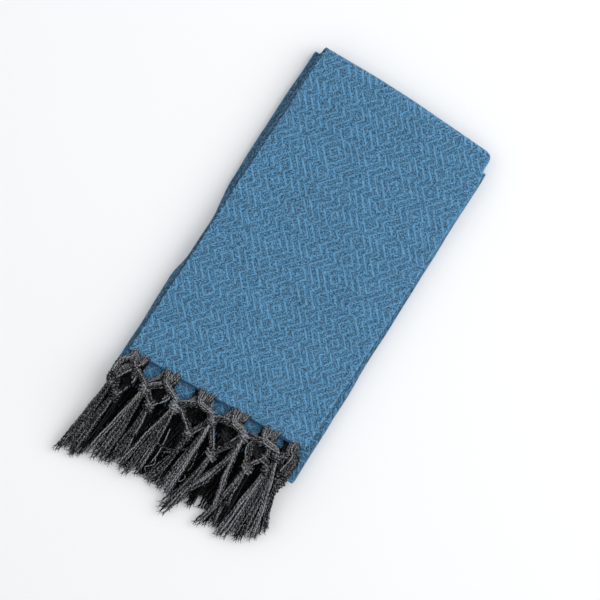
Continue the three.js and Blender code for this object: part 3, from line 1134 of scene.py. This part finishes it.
class Shader:
    """A material in the making."""

    def __init__(self, name: str) -> None:
        """Starts a material with the usual surface node."""
        self.material = bpy.data.materials.new(name)
        self.material.use_nodes = True
        self.tree = self.material.node_tree
        self.surface = self.tree.nodes["Principled BSDF"]

    def feed(self, target: bpy.types.NodeSocket, source: Source) -> None:
        """Links or sets an input.

        Args:
            target: The input.
            source: A value or socket that is linked to it, or a plain number or colour that it is set to.
        """
        source = source.socket if isinstance(source, Value) else source
        if isinstance(source, bpy.types.NodeSocket):
            self.tree.links.new(source, target)
        else:
            target.default_value = source

    def node(self, kind: str, sockets: dict[str | int, Source], **settings: str | int) -> bpy.types.Node:
        """Adds a node.

        Args:
            kind: Its type.
            sockets: What its inputs take, by name or number.
            **settings: Its properties, which are set first.

        Returns:
            The node.
        """
        made = self.tree.nodes.new(kind)
        for key, value in settings.items():
            setattr(made, key, value)
        for key, source in sockets.items():
            self.feed(made.inputs[key], source)
        return made

    def maths(self, kind: Maths, *terms: Value | float) -> Value:
        """One step of arithmetic over the surface."""
        made = self.node("ShaderNodeMath", dict(enumerate(terms)), operation=kind.value)
        return Value(self, made.outputs[0])

    def vector(self, x: Value, y: Value | float) -> bpy.types.NodeSocket:
        """Two numbers as one vector."""
        return self.node("ShaderNodeCombineXYZ", {0: x, 1: y}).outputs[0]

    def coordinates(self) -> tuple[Value, Value]:
        """The piece's own surface coordinates.

        Returns:
            The place across the cloth or around the yarn, and the one along it.
        """
        where = self.node("ShaderNodeUVMap", {}, uv_map=UV_MAP)
        split = self.node("ShaderNodeSeparateXYZ", {0: where.outputs[0]})
        return Value(self, split.outputs[0]), Value(self, split.outputs[1])

    def fact(self, name: str) -> Value:
        """A number kept on the mesh's points."""
        return Value(self, self.node("ShaderNodeAttribute", {}, attribute_name=name).outputs["Fac"])

    def noise(self, x: Value, y: Value, scale: float, detail: float = 2.0) -> Value:
        """Smooth noise over two coordinates.

        Args:
            x: The first coordinate.
            y: The second one.
            scale: Number of its waves for each unit.
            detail: Number of finer layers.

        Returns:
            The noise, from 0 to 1.
        """
        sockets = {"Vector": self.vector(x, y), "Scale": scale, "Detail": detail}
        return Value(self, self.node("ShaderNodeTexNoise", sockets, noise_dimensions="2D").outputs["Fac"])

    def speckle(self, x: Value, y: Value | float) -> Value:
        """A different number from 0 to 1 in each cell."""
        made = self.node("ShaderNodeTexWhiteNoise", {"Vector": self.vector(x, y)}, noise_dimensions="2D")
        return Value(self, made.outputs["Value"])

    def blend(self, share: Value, first: Colour, second: Colour) -> bpy.types.NodeSocket:
        """A colour between two, by the share of the second."""
        sockets = {"Factor": share, "A": (*first, 1.0), "B": (*second, 1.0)}
        return self.node("ShaderNodeMix", sockets, data_type="RGBA").outputs["Result"]

    def shade(self, colour: bpy.types.NodeSocket, amount: Value) -> bpy.types.NodeSocket:
        """A colour made lighter or darker by a number over the surface."""
        return self.node("ShaderNodeVectorMath", {0: colour, "Scale": amount}, operation="SCALE").outputs[0]

    def relief(self, height: Value, distance: float, strength: float) -> None:
        """Raises the surface.

        Args:
            height: Its height, from 0 to 1.
            distance: The height that 1 stands for, in metres.
            strength: How strongly it shades.
        """
        sockets = {"Strength": strength, "Distance": distance, "Height": height}
        self.feed(self.surface.inputs["Normal"], self.node("ShaderNodeBump", sockets).outputs[0])

    def finish(
        self, roughness: float, sheen: float, sheen_roughness: float, shine: float = 0.2
    ) -> bpy.types.Material:
        """Sets the values that are the same all over.

        Args:
            roughness: Roughness of the surface.
            sheen: Weight of the soft sheen of fibres.
            sheen_roughness: Roughness of that sheen.
            shine: Level of its mirror-like reflection.

        Returns:
            The finished material.
        """
        self.surface.inputs["Roughness"].default_value = roughness
        self.surface.inputs["Sheen Weight"].default_value = sheen
        self.surface.inputs["Sheen Roughness"].default_value = sheen_roughness
        self.surface.inputs["Specular IOR Level"].default_value = shine
        return self.material


@dataclass(frozen=True)
class Weave:
    """The diamond twill: colours are linear, and lengths are in metres on the flat cloth."""

    weft: Colour = (0.136, 0.385, 0.66)
    warp: Colour = (0.03, 0.052, 0.074)
    end_pitch: float = 0.66 * MM
    pick_pitch: float = 0.71 * MM
    column: float = 39.2 * MM  # middle of a column of diamonds
    column_half: float = 41.6 * MM
    row: float = 395.9 * MM  # middle of a row of diamonds
    legs: tuple[float, ...] = (14.5 * MM, 8.0 * MM, 17.0 * MM, 8.9 * MM, 18.1 * MM)
    slope: float = 1.12
    line_pitch: float = 9.85 * MM
    line_start: float = 4.9 * MM
    line_half: float = 0.092  # half a line's width over the pitch
    line_gain: float = 0.52  # how much more weft shows on a line
    speckle: float = 1.5  # unevenness of single crossings of threads
    uneven_scale: float = 780.0
    uneven_share: float = 1.8
    uneven_tone: float = 2.1
    cloud_scale: float = 24.0
    edge_loss: float = 0.3  # how much less weft shows where the edge fact is above 0, and more where it is below 0: painted shadow, painted highlight and charcoal edges

    def make(self, name: str) -> bpy.types.Material:
        """Makes the woven cotton: blue weft over charcoal warp, the other way on the reverse.

        Args:
            name: The material's name.

        Returns:
            The material.
        """
        shader = Shader(name)
        u, v = shader.coordinates()
        reverse = shader.fact("reverse")
        end = (u * (1 / self.end_pitch)).floor()
        pick = (v * (1 / self.pick_pitch)).floor()
        phase, leaning = self._lines((end + 0.5) * self.end_pitch, (pick + 0.5) * self.pick_pitch)
        from_line = 0.5 - (phase.fraction() - 0.5).absolute()
        # Painted highlight: lines that lean one way are drawn a little wider than the others, so they read
        # brighter, as where the light catches them.
        on_line = from_line.below(leaning * 0.02 + self.line_half)
        checker = ((end + pick) * 0.5).fraction().below(0.25)
        weft_up = on_line.most(checker)
        height = self._threads(u, v, weft_up)
        shown = (weft_up - reverse).absolute()
        uneven = (shader.noise(u, v, self.uneven_scale, 1.0) - 0.5) * (1.0 - on_line * 0.85)
        share = shown * 0.5 + shader.speckle(end, pick) * 0.4 + on_line * self.line_gain
        share = share + uneven * self.uneven_share
        tone = (shader.speckle(pick, 0.0) - 0.5) * 0.16 + (shader.speckle(end, 3.0) - 0.5) * 0.1
        tone = tone + (shader.speckle(pick, end) - 0.5) * (1.0 - on_line * 0.7) * self.speckle
        tone = tone + (shader.noise(u, v, self.cloud_scale) - 0.5) * 0.16 + uneven * self.uneven_tone + 1.0
        edge = shader.fact("edge")
        # Painted shade: the colour darkens in the gaps between threads, where the height is low; the tone
        # adds the threads' own unevenness, and edge values above 1 paint the shadow line at the top layer's
        # left edge.
        light = (height * 0.5 + 0.6) * tone.most(0.1) * (1.5 - edge.most(1.0) * 0.5)
        # The edge fact moves the colour toward the charcoal warp for the painted shadow line and the partly
        # painted shade of the lower layers, and toward the weft for the painted highlight on the right fold.
        colour = shader.blend(share - edge * self.edge_loss, self.warp, self.weft)
        shader.feed(shader.surface.inputs["Base Color"], shader.shade(colour, light))
        shader.relief(height, 0.35 * MM, 0.8)
        return shader.finish(0.88, 0.12, 0.5)

    def _lines(self, u: Value, v: Value) -> tuple[Value, Value]:
        """The twill's lines, which lean one way and then the other round their diamonds.

        Args:
            u: Place across the flat cloth.
            v: Place along it.

        Returns:
            How far on from one line to the next a cell is, and 1 or -1 for the way its lines lean.
        """
        across = u - self.column
        along = v - self.row
        half_row = sum(self.legs)
        down = along.there_and_back(half_row)
        second = (down - self.legs[0]).most(0.0).least(self.legs[1])
        fourth = (down - sum(self.legs[:3])).most(0.0).least(self.legs[3])
        depth = down - (second + fourth) * 2.0
        total = across.there_and_back(self.column_half) + depth * (1 / self.slope)
        phase = (total - self.line_start) * (1 / self.line_pitch)
        rising = (across * (0.5 / self.column_half)).fraction().below(0.5)
        climbing = (along * (0.5 / half_row)).fraction().below(0.5)
        back_leg = second.above(0.0) * second.below(self.legs[1] * 0.999)
        back_leg = back_leg + fourth.above(0.0) * fourth.below(self.legs[3] * 0.999)
        same = 1.0 - (rising - climbing).absolute()
        leaning = (same - back_leg).absolute() * 2.0 - 1.0
        return phase, leaning

    def _threads(self, u: Value, v: Value, weft_up: Value) -> Value:
        """The round threads.

        Args:
            u: Place across the flat cloth.
            v: Place along it.
            weft_up: 1 where the weft lies over the warp, otherwise 0.

        Returns:
            Their height, from 0 in the gaps to 1 on top.
        """
        end_turn = ((u * (1 / self.end_pitch)).fraction() - 0.5) * math.pi
        pick_turn = ((v * (1 / self.pick_pitch)).fraction() - 0.5) * math.pi
        over_weft = pick_turn.cosine() * (end_turn.cosine() * 0.35 + 0.65)
        over_warp = end_turn.cosine() * (pick_turn.cosine() * 0.35 + 0.65)
        return over_weft * weft_up + over_warp * (1.0 - weft_up)


@dataclass(frozen=True)
class Yarn:
    """Plied cotton yarn, in linear colours: a near-black that is painted shade in the hollows between its
    plies and under it, and the colour of the lit ply tops, which holds a painted highlight.
    """

    # Near-black painted shade in the hollows and under the yarn.
    colour: Colour = (0.001, 0.0011, 0.0014)
    # The colour of the lit ply tops, with a painted highlight over the yarn's own colour.
    lit_colour: Colour = (0.42, 0.426, 0.45)
    fuzz_along: float = 560.0
    fuzz_around: float = 9.0

    def make(self, name: str) -> bpy.types.Material:
        """Makes the yarn, with its plies twisted round each other.

        Args:
            name: The material's name.

        Returns:
            The material.
        """
        shader = Shader(name)
        around, along = shader.coordinates()
        ply = shader.fact("ply")
        tone = shader.fact("tone")
        where = along * self.fuzz_along + tone * 37.0
        fuzz = shader.noise(where, around * self.fuzz_around + ply * 2.0, 1.0, 3.0)
        # Painted shade: the grooves between the plies, where the ply fact is low, go toward the near-black;
        # the fuzz and tone add the yarn's own unevenness.
        share = (ply * 0.5 + (fuzz - 0.5) * 3.0 + tone * 0.34 - 0.02).most(0.0)
        # Painted light and shade: the yarn's upper side is painted lit, and its sides and underside are
        # painted near-black.
        share = share * (shader.fact("painted_top_light") * 1.9 - 0.82).most(0.02)
        colour = shader.blend(share, self.colour, self.lit_colour)
        shader.feed(shader.surface.inputs["Base Color"], colour)
        shader.relief(fuzz, 0.5 * MM, 0.7)
        return shader.finish(0.95, 0.0, 0.6, 0.04)


class Lamp(NamedTuple):
    """A square soft light: its place and side in metres, and its power in watts."""

    name: str
    place: tuple[float, float, float]
    size: float
    power: float


@dataclass(frozen=True)
class Studio:
    """Floor, light and camera. Lengths are in metres."""

    turn: float = 33.25  # the block's long axis leans this far clockwise in the photo
    aim: tuple[float, float, float] = (19.3 * MM, -43.0 * MM, 25.2 * MM)
    distance: float = 3.0
    sensor: float = 36.0  # in millimetres
    photo_size: int = 600
    floor_reach: float = 6.0
    floor_height: float = -0.0005
    floor_colour: Colour = (0.93, 0.94, 0.95)
    sky_colour: Colour = (0.985, 0.992, 1.0)
    sky_strength: float = 0.66
    lamps: tuple[Lamp, ...] = (
        Lamp("key", (1.4, 1.2, 1.8), 2.4, 38.0),
        Lamp("fill", (-1.1, -0.3, 1.8), 1.6, 5.0),
    )

    def build(self) -> None:
        """Sets up the floor, the camera, the lights and the pale surroundings."""
        bpy.context.scene.view_settings.view_transform = "Standard"
        self._floor()
        self._camera()
        for lamp in self.lamps:
            self._light(lamp)
        world = bpy.data.worlds.new("studio")
        world.use_nodes = True
        background = world.node_tree.nodes["Background"]
        background.inputs["Color"].default_value = (*self.sky_colour, 1.0)
        background.inputs["Strength"].default_value = self.sky_strength
        bpy.context.scene.world = world

    def _floor(self) -> None:
        """Lays the plain pale floor."""
        plane = bmesh.new()
        bmesh.ops.create_grid(plane, x_segments=1, y_segments=1, size=self.floor_reach)
        bmesh.ops.translate(plane, verts=plane.verts, vec=(0.0, 0.0, self.floor_height))
        mesh = bpy.data.meshes.new("floor")
        plane.to_mesh(mesh)
        plane.free()
        shader = Shader("floor_white")
        shader.surface.inputs["Base Color"].default_value = (*self.floor_colour, 1.0)
        mesh.materials.append(shader.finish(0.8, 0.0, 0.5))
        floor = bpy.data.objects.new("floor", mesh)
        bpy.context.scene.collection.objects.link(floor)

    def _light(self, lamp: Lamp) -> None:
        """Hangs one light, turned to the throw.

        Args:
            lamp: The light.
        """
        data = bpy.data.lights.new(lamp.name, "AREA")
        data.size = lamp.size
        data.energy = lamp.power
        thing = bpy.data.objects.new(lamp.name, data)
        thing.location = lamp.place
        thing.rotation_euler = (Vector(self.aim) - Vector(lamp.place)).to_track_quat("-Z", "Y").to_euler()
        bpy.context.scene.collection.objects.link(thing)

    def _camera(self) -> None:
        """Sets the camera straight above, turned and framed as in the photo."""
        data = bpy.data.cameras.new("camera")
        data.sensor_width = self.sensor
        data.lens = self.sensor * self.distance / (self.photo_size * PIXEL)
        data.clip_end = 20.0
        camera = bpy.data.objects.new("camera", data)
        camera.location = Vector(self.aim) + Vector((0, 0, self.distance))
        camera.rotation_euler = (0.0, 0.0, math.radians(self.turn))
        bpy.context.scene.collection.objects.link(camera)
        bpy.context.scene.camera = camera


def moved(tassel: Tassel, slide: float) -> Tassel:
    """A tassel a little to one side of another.

    Args:
        tassel: The other one.
        slide: How far to the right it is.

    Returns:
        The tassel, with its locks shorter by the same length.
    """
    locks = tuple(
        Lock(lock.bend + slide, lock.tip + slide, lock.reach - abs(slide), lock.yarns)
        for lock in tassel.locks
    )
    return Tassel(tassel.knot + slide, tassel.drop, tassel.left + slide, tassel.right + slide, locks)


@dataclass(frozen=True)
class ThrowBlanket:
    """The whole throw: the cloth and the yarns of its two fringes. Lengths are in millimetres."""

    front_row: Row = Row(
        level=3,
        cross_drop=16.5,
        root_offset=5.6,
        root_spread=6.0,
        way_share=0.85,
        way_drop=8.5,
        on_top=True,
        raised=4.0,
        radius=1.1,
        step=1.6,
        sides=7,
    )
    second_row: Row = Row(
        level=2,
        cross_drop=29,
        root_offset=-12,
        root_spread=4,
        way_share=0.8,
        way_drop=13.5,
        raised=2.0,
        step=2.2,
    )
    third_row: Row = Row(level=1, cross_drop=17, root_offset=2, root_spread=4, way_drop=9, step=3.2)
    loose_row: Row = Row(level=0, step=3.2)
    loose_yarns: int = 26
    loose_reach: float = 119.0
    pick_row: Row = Row(level=3, step=1.5)
    floor_slides: tuple[float, ...] = (-8.0, 4.0)  # of the rows on the floor, from the lowest

    def build(self) -> list[bpy.types.Object]:
        """Makes every piece, and hides the solid that each one takes the place of.

        Returns:
            The pieces.
        """
        cloth = FoldedCloth().build(Weave().make("woven_cotton"))
        charcoal = Yarn().make("charcoal_yarn")
        shaded = Yarn(lit_colour=(0.035, 0.036, 0.038)).make("shaded_yarn")
        blue = Yarn(colour=(0.006, 0.02, 0.06), lit_colour=(0.13, 0.36, 0.62)).make("blue_yarn")
        front, second, under = self._top_rows()
        low = self._floor_rows()
        fringes = [
            self._piece("front_tassels", [front.skin], charcoal, "fringe_top"),
            self._piece("front_knots", [front.ties], charcoal, "fringe_top"),
            self._piece("second_tassels", [second.skin, second.ties], charcoal, "fringe_top"),
            self._piece("under_tassels", under, shaded, "fringe_top"),
            self._piece("floor_tassels", low, charcoal, "fringe_floor"),
        ]
        hem = self._piece("hem_threads", [self._picks().ties], blue, "cloth")
        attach(cloth, "root")
        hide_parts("cloth")
        return [cloth, *fringes, hem]

    def _top_rows(self) -> tuple[YarnWork, YarnWork, list[Skin]]:
        """Ties the fringe of the top hem.

        Returns:
            Its front row with the strays, its second row, and the yarns under them.
        """
        hem = Hem(TOP_HEM_Y, TOP_BED)
        front = YarnWork(hem, self.front_row)
        second = YarnWork(hem, self.second_row)
        third = YarnWork(hem, self.third_row)
        loose = YarnWork(hem, self.loose_row)
        rows = ((front, FRONT_TASSELS), (second, SECOND_TASSELS), (third, THIRD_TASSELS))
        for work, tassels in rows:
            for tassel in tassels:
                work.tassel(tassel)
        for cross in LOOSE_PLACES:
            loose.loose(cross, self.loose_yarns, self.loose_reach)
        for number, stray in enumerate(STRAYS):
            front.stray(stray, number)
        return front, second, [third.skin, third.ties, loose.skin, loose.ties]

    def _floor_rows(self) -> list[Skin]:
        """Ties the fringe of the hem on the floor.

        Returns:
            The yarns and ties of its rows, from the lowest.
        """
        hem = Hem(FLOOR_HEM_Y, FLOOR_BED)
        skins = []
        for level, slide in enumerate(self.floor_slides):
            work = YarnWork(hem, Row(level, cross_drop=14, root_offset=4, root_spread=5, step=3.5))
            for tassel in FLOOR_TASSELS:
                work.tassel(moved(tassel, slide))
            skins += [work.skin, work.ties]
        return skins

    def _picks(self) -> YarnWork:
        """Lays the loosened weft threads at the top hem.

        Returns:
            The work that holds them.
        """
        work = YarnWork(Hem(TOP_HEM_Y, TOP_BED), self.pick_row)
        for drop in PICKS:
            work.pick(drop)
        return work

    @staticmethod
    def _piece(name: str, skins: list[Skin], material: bpy.types.Material, node: str) -> bpy.types.Object:
        """Makes one piece of yarn work in the place of its solid.

        Args:
            name: Its name.
            skins: The meshes in the making that it is joined from.
            material: Its finish.
            node: The solid that it stands for.

        Returns:
            The piece.
        """
        whole = Skin()
        for skin in skins:
            whole.join(skin)
        piece = whole.to_object(name, material)
        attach(piece, "root")
        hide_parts(node)
        return piece


def main() -> None:
    """Builds the throw and its studio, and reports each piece."""
    logging.basicConfig(level=logging.INFO, format="%(name)s: %(message)s")
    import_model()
    for piece in ThrowBlanket().build():
        LOG.info("%s has %d faces", piece.name, len(piece.data.polygons))
    Studio().build()


if __name__ == "__main__":
    main()
